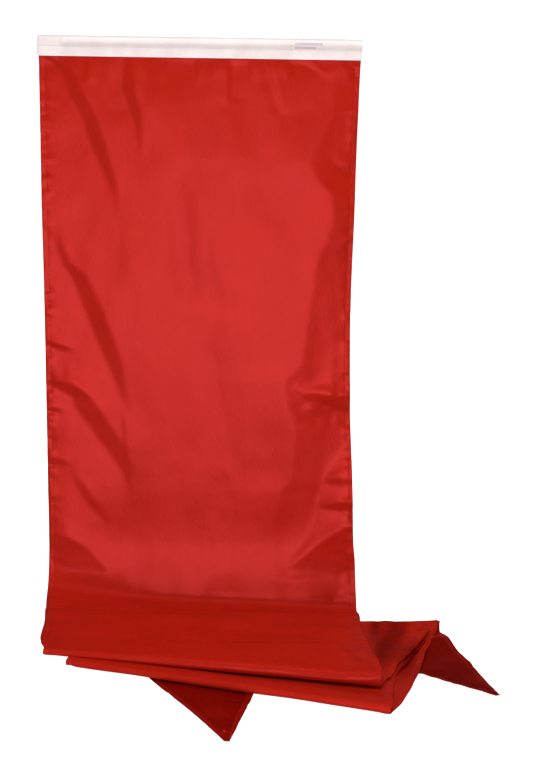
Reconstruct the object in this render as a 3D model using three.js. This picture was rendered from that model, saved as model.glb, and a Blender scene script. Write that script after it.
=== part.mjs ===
// Swallow-tailed wind streamer with a white canvas heading.
//
// The heading is a strip of canvas folded over the streamer's top edge, with a slim wooden rod in the
// channel under its fold. The streamer hangs from the heading, meets the floor and goes on there in
// four folds, zigzag, down to its two pointed tails.
//
// Millimetres, +Z up. The origin is the centre of the heading's flat back face, -Y is the front, and
// +X is the right-hand side seen from the front.
import * as THREE from 'three';

// ---- Overall sizes ----
const HOIST = 610; // width of the streamer and of its heading
const HANG = 1120; // from the heading's top edge down to the floor
const HEADING_HEIGHT = 38;

// ---- Cloth and canvas ----
const CANVAS = 0.8; // one ply of the heading
const NYLON = 0.8; // the streamer with its hems
const GAP = 0.3; // clearance between pieces that touch
const HEM_WIDTH = 9.5; // side and notch hems, to their stitching

// ---- Rod and its channel ----
const ROD_DIAMETER = 6;
const ROD_LENGTH = 490;
const ROD_CLEARANCE = 0.5; // between the rod and each ply
const ROD_DROP = 10; // from the heading's top edge down to the rod's middle
const ROD_CHAMFER = 0.8;
const ROD_SIDES = 24;
const LEFT_STOP = 48; // from the heading's left end to the rod
const STOP_DEPTH = 3; // the wad of canvas that fills the channel there
const STOP_HEIGHT = 8.4;
const FOLD_RISE = 1.2; // half thickness of the heading's top fold
const CHANNEL_DEPTH = 20; // from the heading's top edge down to the seam under the channel
const PINCH_FLAT = 0.8; // half height of the stretch where the seam pinches the plies together
const PINCH_RUN = 2.6; // from the seam down to where the front ply lies on the streamer

// ---- Thread ----
const THREAD = 0.6;
const STRAND_SIDES = 5;
const SEAM_INSET = 3; // from the heading's lower edge and its ends to their stitching
const TACK = { length: 9, width: 2.4, height: 0.7 };
const TIP_TACK_SHARE = 0.6; // from a tip to where its two hem seams meet
const NOTCH_TACK_SHARE = 0.4; // from the notch to the crease behind it

// ---- The part on the floor ----
const LAYER_PITCH = 7; // height of one layer above the next
const FOOT_RADIUS = 32; // where the hanging part turns on to the floor
const ARC_STEPS = 6; // steps of each fold's half turn
const LAYERS = 5;
const LAID_OUT_FOR = 610; // the hoist that the places across below are given for; they widen with it

// The hanging part, from the heading down: share of the drop, then how far the middle has drifted to
// the right and forward, and the width as a share of the hoist, since shallow folds take some up.
const HANGING = [
  { drop: 0.0, drift: 0, forward: 0, span: 0.995 },
  { drop: 0.2, drift: -1, forward: 6, span: 0.98 },
  { drop: 0.45, drift: -1.5, forward: 10, span: 0.975 },
  { drop: 0.65, drift: 1, forward: 12, span: 0.98 },
  { drop: 0.9, drift: 8, forward: 13, span: 1.0 },
  { drop: 1.0, drift: 12, forward: 14, span: 1.0 },
];

// Each fold's crease, in the order of the strip: its middle, its turn about +Z in degrees, and its
// length as a share of the hoist, since a crease that crosses the strip at a slant is longer.
const FOLDS = [
  { x: 40, y: -380, turn: -9.4, span: 1.005 },
  { x: 170, y: -100, turn: -10.4, span: 1.0 },
  { x: 59, y: -430, turn: -17.6, span: 1.01 },
  { x: 149, y: -150, turn: 0, span: 1.08 },
];
const TAIL_LEFT = { x: 81, y: -634 };
const TAIL_RIGHT = { x: 545, y: -440 };
const NOTCH = { x: 155, y: -168 };

// ---- Sizes that follow ----
const TOP = HEADING_HEIGHT / 2;
const BOTTOM = -HEADING_HEIGHT / 2;
const FLOOR = TOP - HANG;
const HALF = HOIST / 2;
const ROD_RADIUS = ROD_DIAMETER / 2;
const WIDTH_RATIO = HOIST / LAID_OUT_FOR;
const BACK_PLY = -CANVAS / 2;
const CLOTH_Y = -(CANVAS + GAP + NYLON / 2);
const FRONT_PLY = CLOTH_Y - NYLON / 2 - GAP - CANVAS / 2;
const PINCH_PLY = -(CANVAS + GAP + CANVAS / 2);
const ROD_Y = -(CANVAS + ROD_CLEARANCE + ROD_RADIUS);
const ROD_Z = TOP - ROD_DROP;
const ROD_START = -HALF + LEFT_STOP;
const PINCH_Z = TOP - CHANNEL_DEPTH;
const CLOTH_TOP = PINCH_Z - PINCH_RUN - GAP; // the streamer's own top edge, between the plies
const STAND_OFF = NYLON / 2 + GAP + THREAD / 2; // from the middle of the cloth to a thread's middle

// ---- Finishes ----
const finish = (color, roughness) => new THREE.MeshStandardMaterial({ color, roughness, metalness: 0 });
const group = new THREE.Group();

function place(name, geometry, material) {
  const mesh = new THREE.Mesh(geometry, material);
  mesh.name = name;
  group.add(mesh);
  return mesh;
}

function meshOf(points, triangles) {
  const geometry = new THREE.BufferGeometry();
  const numbers = points.flatMap((p) => p.toArray());
  geometry.setAttribute('position', new THREE.Float32BufferAttribute(numbers, 3));
  geometry.setIndex(triangles.flat());
  geometry.computeVertexNormals();
  return geometry;
}

// ---- Heading ----

// The angle at which a line from a point touches a circle, on the side that the sign picks.
function tangentAngle(point, centre, radius, sign) {
  const towards = point.clone().sub(centre);
  return towards.angle() + sign * Math.acos(radius / towards.length());
}

// A line moved sideways by a distance, its corners mitred.
function offsetLine(line, distance) {
  return line.map((point, i) => {
    const next = line[Math.min(i + 1, line.length - 1)];
    const previous = line[Math.max(i - 1, 0)];
    const ahead = next.clone().sub(i + 1 < line.length ? point : previous).normalize();
    const behind = point.clone().sub(i > 0 ? previous : point.clone().sub(ahead)).normalize();
    const along = ahead.clone().add(behind).normalize();
    const miter = distance / along.dot(ahead);
    return new THREE.Vector2(point.x - along.y * miter, point.y + along.x * miter);
  });
}

// A closed outline: a line given a thickness, half to each side.
function bandOutline(line, thickness) {
  return new THREE.Shape([...offsetLine(line, thickness / 2), ...offsetLine(line, -thickness / 2).reverse()]);
}

// A shape drawn in the Y-Z plane, made into a bar along X.
function barAlongX(shape, from, to) {
  const geometry = new THREE.ExtrudeGeometry(shape, { depth: to - from, bevelEnabled: false });
  const axes = new THREE.Matrix4().makeBasis(
    new THREE.Vector3(0, 1, 0),
    new THREE.Vector3(0, 0, 1),
    new THREE.Vector3(1, 0, 0),
  );
  geometry.applyMatrix4(axes);
  geometry.translate(from, 0, 0);
  return geometry;
}

function headingLine() {
  const at = (y, z) => new THREE.Vector2(y, z);
  const rod = at(ROD_Y, ROD_Z);
  const bend = ROD_RADIUS + ROD_CLEARANCE + CANVAS / 2;
  const foldBack = at(BACK_PLY, TOP - CANVAS / 2 - FOLD_RISE);
  const foldTop = at(BACK_PLY - FOLD_RISE / 2, TOP - CANVAS / 2);
  const foldFront = at(BACK_PLY - 1.5 * FOLD_RISE, TOP - CANVAS / 2 - FOLD_RISE / 2);
  const pinchTop = at(PINCH_PLY, PINCH_Z + PINCH_FLAT);
  const first = tangentAngle(foldFront, rod, bend, 1);
  const last = tangentAngle(pinchTop, rod, bend, -1);
  const overRod = Array.from({ length: ARC_STEPS + 1 }, (_, i) => {
    const angle = THREE.MathUtils.lerp(first, last, i / ARC_STEPS);
    return at(rod.x + bend * Math.cos(angle), rod.y + bend * Math.sin(angle));
  });
  return [
    at(BACK_PLY, BOTTOM),
    foldBack,
    foldTop,
    foldFront,
    ...overRod,
    pinchTop,
    at(PINCH_PLY, PINCH_Z - PINCH_FLAT),
    at(FRONT_PLY, PINCH_Z - PINCH_RUN),
    at(FRONT_PLY, BOTTOM),
  ];
}

function makeHeading() {
  const canvas = finish('#f7ecec', 0.85);
  place('heading_canvas', barAlongX(bandOutline(headingLine(), CANVAS), -HALF, HALF), canvas);
}

function makeRod() {
  const profile = [
    new THREE.Vector2(0, 0),
    new THREE.Vector2(ROD_RADIUS - ROD_CHAMFER, 0),
    new THREE.Vector2(ROD_RADIUS, ROD_CHAMFER),
    new THREE.Vector2(ROD_RADIUS, ROD_LENGTH - ROD_CHAMFER),
    new THREE.Vector2(ROD_RADIUS - ROD_CHAMFER, ROD_LENGTH),
    new THREE.Vector2(0, ROD_LENGTH),
  ];
  const rod = place('heading_rod', new THREE.LatheGeometry(profile, ROD_SIDES), finish('#c9a877', 0.6));
  rod.rotation.z = -Math.PI / 2;
  rod.position.set(ROD_START, ROD_Y, ROD_Z);
}

// The wad of turned-in canvas that closes the channel's left end and stops the rod there.
function makeChannelStop() {
  const length = LEFT_STOP - 3 * GAP;
  const geometry = new THREE.BoxGeometry(length, STOP_DEPTH, STOP_HEIGHT);
  const stop = place('channel_end_ply', geometry, finish('#f2e6e4', 0.9));
  stop.position.set(-HALF + GAP + length / 2, -(CANVAS + GAP + STOP_DEPTH / 2), ROD_Z);
}

// ---- Streamer ----

// One row across the strip: its middle, the way it runs across, and half its length.
function rowAt(x, y, z, turn, span) {
  const angle = THREE.MathUtils.degToRad(turn);
  const across = new THREE.Vector3(Math.cos(angle), Math.sin(angle), 0);
  return { middle: new THREE.Vector3(x, y, z), across, half: HALF * span };
}

const layerHeight = (layer) => FLOOR + NYLON / 2 + (LAYERS - 1 - layer) * LAYER_PITCH;

function hangingRows() {
  const low = layerHeight(0) + FOOT_RADIUS;
  const inside = rowAt(0, CLOTH_Y, CLOTH_TOP, 0, HANGING[0].span);
  const rows = HANGING.map(({ drop, drift, forward, span }) =>
    rowAt(drift * WIDTH_RATIO, CLOTH_Y - forward, THREE.MathUtils.lerp(BOTTOM, low, drop), 0, span),
  );
  return [inside, ...rows];
}

function footRows() {
  const last = HANGING[HANGING.length - 1];
  const y = CLOTH_Y - last.forward;
  return Array.from({ length: ARC_STEPS }, (_, i) => {
    const angle = ((i + 1) / ARC_STEPS) * (Math.PI / 2);
    const forward = FOOT_RADIUS * (1 - Math.cos(angle));
    const height = layerHeight(0) + FOOT_RADIUS * (1 - Math.sin(angle));
    return rowAt(last.drift * WIDTH_RATIO, y - forward, height, 0, last.span);
  });
}

// A fold's half turn about its crease, from one layer down to the next. Even folds are at the front.
function foldRows(fold, index) {
  const outward = index % 2 === 0 ? -1 : 1;
  const radius = LAYER_PITCH / 2;
  const middle = (layerHeight(index) + layerHeight(index + 1)) / 2;
  return Array.from({ length: ARC_STEPS + 1 }, (_, i) => {
    const angle = (i / ARC_STEPS) * Math.PI;
    const row = rowAt(fold.x * WIDTH_RATIO, fold.y, middle + radius * Math.cos(angle), fold.turn, fold.span);
    const out = new THREE.Vector3(-row.across.y, row.across.x, 0);
    row.middle.addScaledVector(out, outward * radius * Math.sin(angle));
    return row;
  });
}

const rows = [...hangingRows(), ...footRows(), ...FOLDS.flatMap(foldRows)];
const onRow = (row, share) => row.middle.clone().addScaledVector(row.across, share * row.half);
const lastLayer = layerHeight(LAYERS - 1);
const onFloor = (spot) => new THREE.Vector3(spot.x * WIDTH_RATIO, spot.y, lastLayer);
const tips = [onFloor(TAIL_LEFT), onFloor(TAIL_RIGHT)];
const notch = onFloor(NOTCH);

// Gives a sheet its thickness, half to each side, and closes it round its rim.
function thicken(points, triangles, thickness) {
  const normals = meshOf(points, triangles).getAttribute('normal');
  const normalAt = (i) => new THREE.Vector3().fromBufferAttribute(normals, i);
  const front = points.map((p, i) => p.clone().addScaledVector(normalAt(i), thickness / 2));
  const back = points.map((p, i) => p.clone().addScaledVector(normalAt(i), -thickness / 2));
  const n = points.length;
  const edges = triangles.flatMap(([a, b, c]) => [[a, b], [b, c], [c, a]]);
  const known = new Set(edges.map(([a, b]) => `${a} ${b}`));
  const rim = edges.filter(([a, b]) => !known.has(`${b} ${a}`));
  const sides = rim.flatMap(([a, b]) => [[b, a, a + n], [b, a + n, b + n]]);
  const behind = triangles.map(([a, b, c]) => [c + n, b + n, a + n]);
  return meshOf([...front, ...back], [...triangles, ...behind, ...sides]);
}

function makeStreamer() {
  const columns = [-1, 0, 1];
  const points = rows.flatMap((row) => columns.map((share) => onRow(row, share)));
  points.push(notch, ...tips);
  const triangles = [];
  for (let r = 0; r + 1 < rows.length; r += 1) {
    for (let c = 0; c < 2; c += 1) {
      const a = 3 * r + c;
      triangles.push([a, a + 3, a + 4], [a, a + 4, a + 1]);
    }
  }
  const left = 3 * (rows.length - 1);
  const [middle, right, apex, tipLeft, tipRight] = [1, 2, 3, 4, 5].map((step) => left + step);
  triangles.push([left, tipLeft, apex], [left, apex, middle]);
  triangles.push([middle, apex, tipRight], [middle, tipRight, right]);
  place('streamer_cloth', thicken(points, triangles, NYLON), finish('#c32a27', 0.45));
}

// ---- Stitching ----

// A thread swept along its steps as a five-sided strand. Each step has its point, the way the thread
// runs and the way the surface under it faces.
function strand(steps) {
  const points = steps.flatMap(({ point, along, facing }) => {
    const across = facing.clone().cross(along).normalize();
    return Array.from({ length: STRAND_SIDES }, (_, k) => {
      const angle = (k / STRAND_SIDES) * 2 * Math.PI;
      const out = across.clone().multiplyScalar(Math.cos(angle)).addScaledVector(facing, Math.sin(angle));
      return point.clone().addScaledVector(out, THREAD / 2);
    });
  });
  const triangles = [];
  for (let i = 0; i + 1 < steps.length; i += 1) {
    for (let k = 0; k < STRAND_SIDES; k += 1) {
      const a = i * STRAND_SIDES + k;
      const b = i * STRAND_SIDES + ((k + 1) % STRAND_SIDES);
      triangles.push([a, b, a + STRAND_SIDES], [b, b + STRAND_SIDES, a + STRAND_SIDES]);
    }
  }
  const end = points.length - STRAND_SIDES;
  for (let k = 1; k + 1 < STRAND_SIDES; k += 1) {
    triangles.push([0, k + 1, k], [end, end + k, end + k + 1]);
  }
  return meshOf(points, triangles);
}

// Steps along a line of points that a surface facing one way carries.
function stepsThrough(points, facing) {
  return points.map((point, i) => {
    const ahead = points[Math.min(i + 1, points.length - 1)];
    const behind = points[Math.max(i - 1, 0)];
    return { point, along: ahead.clone().sub(behind).normalize(), facing };
  });
}

const UP = new THREE.Vector3(0, 0, 1);
const FRONT = new THREE.Vector3(0, -1, 0);

// The point inside a tail's tip that is a hem's width from both of its edges.
function insideTip(tip, cornerBehind) {
  const outer = cornerBehind.clone().sub(tip).normalize();
  const inner = notch.clone().sub(tip).normalize();
  const reach = HEM_WIDTH / (outer.distanceTo(inner) / 2);
  return tip.clone().addScaledVector(outer.add(inner).normalize(), reach);
}

function hemThread(name, side, tip, material) {
  const share = side * (1 - HEM_WIDTH / HALF);
  const free = rows.slice(1).map((row, i, list) => {
    const ahead = onRow(list[Math.min(i + 1, list.length - 1)], share);
    const behind = onRow(list[Math.max(i - 1, 0)], share);
    const along = ahead.sub(behind).normalize();
    const facing = along.clone().cross(row.across).normalize();
    return { point: onRow(row, share).addScaledVector(facing, STAND_OFF), along, facing };
  });
  free[0].point.z -= 2 * THREAD;
  const corner = onRow(rows[rows.length - 1], side);
  const end = insideTip(tip, corner).addScaledVector(UP, STAND_OFF);
  const tail = stepsThrough([free[free.length - 1].point, end], UP);
  place(name, strand([...free.slice(0, -1), tail[0], tail[1]]), material);
}

// The hem along one side of the notch, from near its apex to the tip. The side is -1 for the left.
function notchThread(name, side, tip, material) {
  const corner = onRow(rows[rows.length - 1], side);
  const end = insideTip(tip, corner);
  const along = tip.clone().sub(notch).normalize();
  const inward = UP.clone().cross(along).multiplyScalar(side);
  const start = notch.clone().addScaledVector(along, 2 * HEM_WIDTH).addScaledVector(inward, HEM_WIDTH);
  const stop = end.addScaledVector(along, -4 * THREAD);
  const lifted = [start, stop].map((point) => point.addScaledVector(UP, STAND_OFF));
  place(name, strand(stepsThrough(lifted, UP)), material);
}

// A short dense row of stitches that takes the pull at a point of the cloth on the floor.
function makeTack(name, spot, along, material) {
  const tack = place(name, new THREE.BoxGeometry(TACK.length, TACK.width, TACK.height), material);
  tack.position.copy(spot).addScaledVector(UP, NYLON / 2 + GAP + TACK.height / 2);
  tack.rotation.z = Math.atan2(along.y, along.x);
}

function makeTacks(material) {
  ['left', 'right'].forEach((name, i) => {
    const corner = onRow(rows[rows.length - 1], 2 * i - 1);
    const inside = insideTip(tips[i], corner);
    const along = inside.clone().sub(tips[i]);
    makeTack(`tip_tack_${name}`, tips[i].clone().addScaledVector(along, TIP_TACK_SHARE), along, material);
  });
  const crease = rows[rows.length - 1].middle;
  makeTack('notch_tack', notch.clone().lerp(crease, NOTCH_TACK_SHARE), new THREE.Vector3(1, 0, 0), material);
}

function makeHeadingStitching(material) {
  const standOff = CANVAS / 2 + GAP + THREAD / 2;
  const reach = HALF - SEAM_INSET;
  const across = (y, z) => [-1, 1].map((side) => new THREE.Vector3(side * (reach - 2 * THREAD), y, z));
  const pinch = stepsThrough(across(PINCH_PLY - standOff, PINCH_Z), FRONT);
  place('channel_seam_thread', strand(pinch), material);
  const lower = stepsThrough(across(FRONT_PLY - standOff, BOTTOM + SEAM_INSET), FRONT);
  place('heading_seam_thread', strand(lower), material);

  const top = PINCH_Z - PINCH_RUN - PINCH_FLAT;
  const bottom = BOTTOM + SEAM_INSET + 2 * THREAD;
  ['left', 'right'].forEach((name, i) => {
    const x = (2 * i - 1) * reach;
    const ends = [top, bottom].map((z) => new THREE.Vector3(x, FRONT_PLY - standOff, z));
    place(`heading_end_thread_${name}`, strand(stepsThrough(ends, FRONT)), material);
  });
}

makeHeading();
makeRod();
makeChannelStop();
makeStreamer();
makeHeadingStitching(finish('#f4e4e4', 0.8));
const redThread = finish('#a81f1c', 0.7);
hemThread('hem_thread_left', -1, tips[0], redThread);
hemThread('hem_thread_right', 1, tips[1], redThread);
notchThread('notch_thread_left', -1, tips[0], redThread);
notchThread('notch_thread_right', 1, tips[1], redThread);
makeTacks(redThread);

export default group;
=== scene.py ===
# %% [markdown]
# # A swallow-tailed red streamer on a white canvas heading
#
# The object is a strip of glossy red nylon, 0.61 m wide and about 3 m long, sewn under a white canvas
# heading. It hangs from the heading to the floor, and the rest of it lies there in a zigzag of folds.
# Blender makes its looks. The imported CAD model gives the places, and is loaded first.

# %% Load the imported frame
import math

import bmesh
import bpy
import numpy as np
from mathutils import Matrix, Vector


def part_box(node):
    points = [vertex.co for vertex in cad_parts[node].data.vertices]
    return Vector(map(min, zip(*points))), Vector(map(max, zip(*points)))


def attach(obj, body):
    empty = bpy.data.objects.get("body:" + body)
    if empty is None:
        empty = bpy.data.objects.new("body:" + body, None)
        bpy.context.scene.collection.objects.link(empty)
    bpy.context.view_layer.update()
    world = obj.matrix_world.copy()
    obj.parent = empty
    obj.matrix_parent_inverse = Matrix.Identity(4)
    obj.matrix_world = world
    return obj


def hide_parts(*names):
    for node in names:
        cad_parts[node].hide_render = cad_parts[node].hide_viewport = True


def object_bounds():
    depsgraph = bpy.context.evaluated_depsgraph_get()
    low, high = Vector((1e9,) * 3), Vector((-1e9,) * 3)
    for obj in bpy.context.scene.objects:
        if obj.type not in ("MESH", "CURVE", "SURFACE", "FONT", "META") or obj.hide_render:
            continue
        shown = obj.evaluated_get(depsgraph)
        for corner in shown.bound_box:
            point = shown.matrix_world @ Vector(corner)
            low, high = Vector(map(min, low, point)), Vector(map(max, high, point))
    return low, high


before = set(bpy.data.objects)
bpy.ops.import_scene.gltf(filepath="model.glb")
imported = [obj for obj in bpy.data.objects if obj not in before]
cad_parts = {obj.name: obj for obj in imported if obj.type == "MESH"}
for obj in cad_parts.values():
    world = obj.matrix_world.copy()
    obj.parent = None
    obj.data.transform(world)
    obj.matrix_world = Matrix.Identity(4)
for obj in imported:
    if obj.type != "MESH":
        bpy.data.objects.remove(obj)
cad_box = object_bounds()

MM = 0.001

# %% [markdown]
# ## Places
#
# Everything starts from the heading and the floor. The floor is the lowest point of the CAD model, and
# the heading's box gives the width and the two edges that the streamer hangs between.

# %% Read the heading and the floor
heading_low, heading_high = (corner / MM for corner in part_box("heading_canvas"))
FLOOR = cad_box[0][2] / MM
HALF = (heading_high.x - heading_low.x) / 2
HOIST = 2 * HALF
LOWER_EDGE = heading_low.z - FLOOR  # height of the heading's lower edge above the floor
print(f"hoist {HOIST:.0f} mm, heading's lower edge {LOWER_EDGE:.0f} mm above the floor")

# %% [markdown]
# ## Helpers for nodes, colours and objects
#
# Materials and Geometry Nodes trees are both node trees, so one function adds a node with its settings
# and links. Colours are picked as sRGB hex values, as on a screen, but shaders count in linear light.

# %% Make the helpers


def new_object(name, data):
    """An object in the scene, at the origin."""
    made = bpy.data.objects.new(name, data)
    bpy.context.scene.collection.objects.link(made)
    return made


def linear(hex_colour):
    """An sRGB hex colour as linear RGBA."""
    parts = [int(hex_colour[i : i + 2], 16) / 255 for i in (1, 3, 5)]
    return [c / 12.92 if c <= 0.04045 else ((c + 0.055) / 1.055) ** 2.4 for c in parts] + [1.0]


def add(tree, kind, inputs=(), **settings):
    """Adds a node. An input is a value, or the output socket of another node to link to."""
    node = tree.nodes.new(kind)
    for key, value in settings.items():
        setattr(node, key, value)
    for key, value in dict(inputs).items():
        if isinstance(value, bpy.types.NodeSocket):
            tree.links.new(value, node.inputs[key])
        else:
            node.inputs[key].default_value = value
    return node


def new_material(name, **constants):
    """A material with one Principled shader whose constants sit on its own sockets."""
    material = bpy.data.materials.new(name)
    material.use_nodes = True
    tree = material.node_tree
    shader = tree.nodes["Principled BSDF"]
    for key, value in constants.items():
        shader.inputs[key.replace("_", " ")].default_value = value
    return material, tree, shader


print("red is", [round(c, 3) for c in linear("#b02822")])

# %% [markdown]
# ## Camera
#
# A person standing about 2.8 m in front of it, a little right of its middle, looks slightly down. The
# long lens keeps the heading and the floor folds at nearly the same scale.

# %% Place the camera
CAMERA_AT = Vector((0.1345, -2.812, -0.008))
PITCH_DOWN = math.radians(12.93)
ROLL = math.radians(0.88)
FOCAL_LENGTH = 67.7  # mm, on a 36 mm wide sensor

ahead = Vector((0, math.cos(PITCH_DOWN), -math.sin(PITCH_DOWN)))
level_up = Vector((0, math.sin(PITCH_DOWN), math.cos(PITCH_DOWN)))
right = Vector((1, 0, 0)) * math.cos(ROLL) + level_up * math.sin(ROLL)
up = level_up * math.cos(ROLL) - Vector((1, 0, 0)) * math.sin(ROLL)
camera = new_object("camera", bpy.data.cameras.new("camera"))
camera.data.lens = FOCAL_LENGTH
turn = Matrix((right, up, -ahead)).transposed().to_4x4()
camera.matrix_world = Matrix.Translation(CAMERA_AT) @ turn
bpy.context.scene.camera = camera
print("camera at", tuple(CAMERA_AT))

# %% [markdown]
# ## Red nylon
#
# The streamer is filament nylon taffeta, calendered so that one face shines. Its filaments carry the
# dye right through, so even its highlights are red, and they run softer along the warp. A plain weave
# has a thread every 0.25 mm, too fine to show, so it is drawn at 1.2 mm. Uneven warp threads leave
# faint streaks down the length, and slubs 3 mm wide give the gloss a fine grain. A much deeper red is
# mixed in as painted shade, on the tails that lie on the floor and in patches at the loose right end of
# the folds: the piece carries it in its "ply" attribute, from 0 for full painted shade to 1 for none.

# %% Make the red nylon
WEAVE = 1.2 * MM

nylon, tree, shader = new_material(
    "red_nylon_taffeta",
    IOR=1.53,
    Specular_Tint=(1.0, 0.10, 0.105, 1.0),
    Specular_IOR_Level=0.85,
)
weave_uv = add(tree, "ShaderNodeUVMap", uv_map="weave").outputs[0]
streaks = add(tree, "ShaderNodeMapping", {"Vector": weave_uv, "Scale": (420, 14, 1)})
streak = add(tree, "ShaderNodeTexNoise", {"Vector": streaks.outputs[0], "Scale": 1.0, "Detail": 3.0})
cloud = add(tree, "ShaderNodeTexNoise", {"Vector": weave_uv, "Scale": 9.0, "Detail": 9.0, "Roughness": 0.62})
mottle = add(
    tree,
    "ShaderNodeMath",
    {0: streak.outputs["Fac"], 1: 0.35, 2: cloud.outputs["Fac"]},
    operation="MULTIPLY_ADD",
)
dye = add(tree, "ShaderNodeValToRGB", {"Fac": mottle.outputs[0]})
dye.color_ramp.elements[0].position = 0.45
dye.color_ramp.elements[0].color = linear("#aa1b0c")
dye.color_ramp.elements[1].position = 1.0
dye.color_ramp.elements[1].color = linear("#b81f11")
# Painted shade: a deep red is mixed into the dye where the piece's lightness attribute falls towards 0.
ply = add(tree, "ShaderNodeAttribute", attribute_name="ply")
deep = add(
    tree,
    "ShaderNodeMix",
    {"Factor": ply.outputs["Fac"], 6: linear("#6e0601"), 7: dye.outputs["Color"]},
    data_type="RGBA",
)
tree.links.new(deep.outputs[2], shader.inputs["Base Color"])
gloss = add(tree, "ShaderNodeMapRange", {"Value": streak.outputs["Fac"], "To Min": 0.28, "To Max": 0.34})
tree.links.new(gloss.outputs[0], shader.inputs["Roughness"])
threads = add(tree, "ShaderNodeMapping", {"Vector": weave_uv, "Scale": (1 / WEAVE, 1 / WEAVE, 1)})
checks = add(tree, "ShaderNodeTexChecker", {"Vector": threads.outputs[0], "Scale": 1.0})
relief = add(
    tree,
    "ShaderNodeMath",
    {0: checks.outputs["Fac"], 1: 0.6, 2: streak.outputs["Fac"]},
    operation="MULTIPLY_ADD",
)
fine = add(tree, "ShaderNodeBump", {"Height": relief.outputs[0], "Strength": 0.05, "Distance": 0.0003})
slubs = add(tree, "ShaderNodeMapping", {"Vector": weave_uv, "Scale": (320, 110, 1)})
grain = add(
    tree,
    "ShaderNodeTexNoise",
    {"Vector": slubs.outputs[0], "Scale": 1.0, "Detail": 3.0, "Roughness": 0.7},
)
bump = add(
    tree,
    "ShaderNodeBump",
    {"Height": grain.outputs["Fac"], "Strength": 1.0, "Distance": 0.00034, "Normal": fine.outputs[0]},
)
tree.links.new(bump.outputs[0], shader.inputs["Normal"])
print("made", nylon.name)

# %% [markdown]
# ## White canvas
#
# The heading is cotton duck: thick matt yarns in a plain weave, 0.9 mm apart, off-white, with a warm
# cast painted in for the red light that the cloth beside it throws on it, and painted shade along the
# fold at its top, a greyer band. Two plain muted bars stand for a maker's print near its right end.

# %% Make the canvas
canvas, tree, shader = new_material(
    "white_cotton_duck",
    Roughness=0.9,
    Specular_IOR_Level=0.25,
    Sheen_Weight=0.25,
    Sheen_Roughness=0.6,
)
YARN = 0.9 * MM
FOLD_FROM, FOLD_TO = 14.5 * MM, 18.5 * MM  # the height over which the fold gets its painted shade
PRINTED_BARS = (  # middle x, middle z, half width, half height, colour
    (0.204, 0.0095, 0.026, 0.0024, "#8f8fb8"),
    (0.198, 0.0020, 0.020, 0.0020, "#cc7f92"),
)
place = add(tree, "ShaderNodeTexCoord").outputs["Object"]
yarns = [
    add(
        tree,
        "ShaderNodeTexWave",
        {"Vector": place, "Scale": 2 * math.pi / YARN / 20, "Distortion": 1.5, "Detail Scale": 2.0},
        bands_direction=direction,
    ).outputs["Fac"]
    for direction in ("X", "Z")
]
duck = add(tree, "ShaderNodeMath", {0: yarns[0], 1: yarns[1]}, operation="ADD")
patchy = add(tree, "ShaderNodeTexNoise", {"Vector": place, "Scale": 28.0, "Detail": 5.0})
# Painted reflection: the pink in both cotton colours stands for red light thrown on the canvas by the cloth.
cotton_and_red_bounce = add(tree, "ShaderNodeValToRGB", {"Fac": patchy.outputs["Fac"]})
cotton_and_red_bounce.color_ramp.elements[0].position = 0.3
cotton_and_red_bounce.color_ramp.elements[0].color = linear("#efe1e0")
cotton_and_red_bounce.color_ramp.elements[1].position = 0.7
cotton_and_red_bounce.color_ramp.elements[1].color = linear("#f9efee")
spots = add(tree, "ShaderNodeSeparateXYZ", {0: place}).outputs
# Painted shade: the fold at the top is greyed between FOLD_FROM and FOLD_TO.
top_shade_mask = add(tree, "ShaderNodeMapRange", {"Value": spots["Z"], "From Min": FOLD_FROM, "From Max": FOLD_TO})
painted_top_shade = {"Factor": top_shade_mask.outputs[0], 6: cotton_and_red_bounce.outputs["Color"], 7: linear("#cfc3c2")}
cotton_shade_and_print = add(tree, "ShaderNodeMix", painted_top_shade, data_type="RGBA").outputs[2]
in_front = add(tree, "ShaderNodeMath", {0: spots["Y"], 1: -1.5 * MM}, operation="LESS_THAN").outputs[0]
for middle_x, middle_z, half_x, half_z, colour in PRINTED_BARS:
    across = add(tree, "ShaderNodeMath", {0: spots["X"], 1: middle_x, 2: half_x}, operation="COMPARE")
    height = add(tree, "ShaderNodeMath", {0: spots["Z"], 1: middle_z, 2: half_z}, operation="COMPARE")
    both = add(tree, "ShaderNodeMath", {0: across.outputs[0], 1: height.outputs[0]}, operation="MULTIPLY")
    faint = add(tree, "ShaderNodeMath", {0: both.outputs[0], 1: in_front}, operation="MULTIPLY")
    worn = add(tree, "ShaderNodeMath", {0: faint.outputs[0], 1: patchy.outputs["Fac"]}, operation="MULTIPLY")
    inked = {"Factor": worn.outputs[0], 6: cotton_shade_and_print, 7: linear(colour)}
    cotton_shade_and_print = add(tree, "ShaderNodeMix", inked, data_type="RGBA").outputs[2]
tree.links.new(cotton_shade_and_print, shader.inputs["Base Color"])
bump = add(tree, "ShaderNodeBump", {"Height": duck.outputs[0], "Strength": 0.35, "Distance": 0.0004})
tree.links.new(bump.outputs[0], shader.inputs["Normal"])
print("made", canvas.name)

# %% [markdown]
# ## Threads, rod and floor
#
# The threads are spun polyester, a twist of plies with a soft gloss. The rod is beech dowel, turned and
# unvarnished, with fine grain along it. The floor is plain and pale.

# %% Make the smaller materials


def spun_thread(name, colour):
    """A thread's material: a fine twist and a soft sheen."""
    material, tree, shader = new_material(
        name, Base_Color=linear(colour), Roughness=0.55, Sheen_Weight=0.2
    )
    place = add(tree, "ShaderNodeTexCoord").outputs["Object"]
    twist = add(tree, "ShaderNodeTexNoise", {"Vector": place, "Scale": 2600.0, "Detail": 2.0})
    bump = add(tree, "ShaderNodeBump", {"Height": twist.outputs["Fac"], "Strength": 0.3, "Distance": 0.0002})
    tree.links.new(bump.outputs[0], shader.inputs["Normal"])
    return material


red_thread = spun_thread("red_spun_polyester", "#b8332a")
white_thread = spun_thread("white_spun_polyester", "#f3e6e4")

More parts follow.
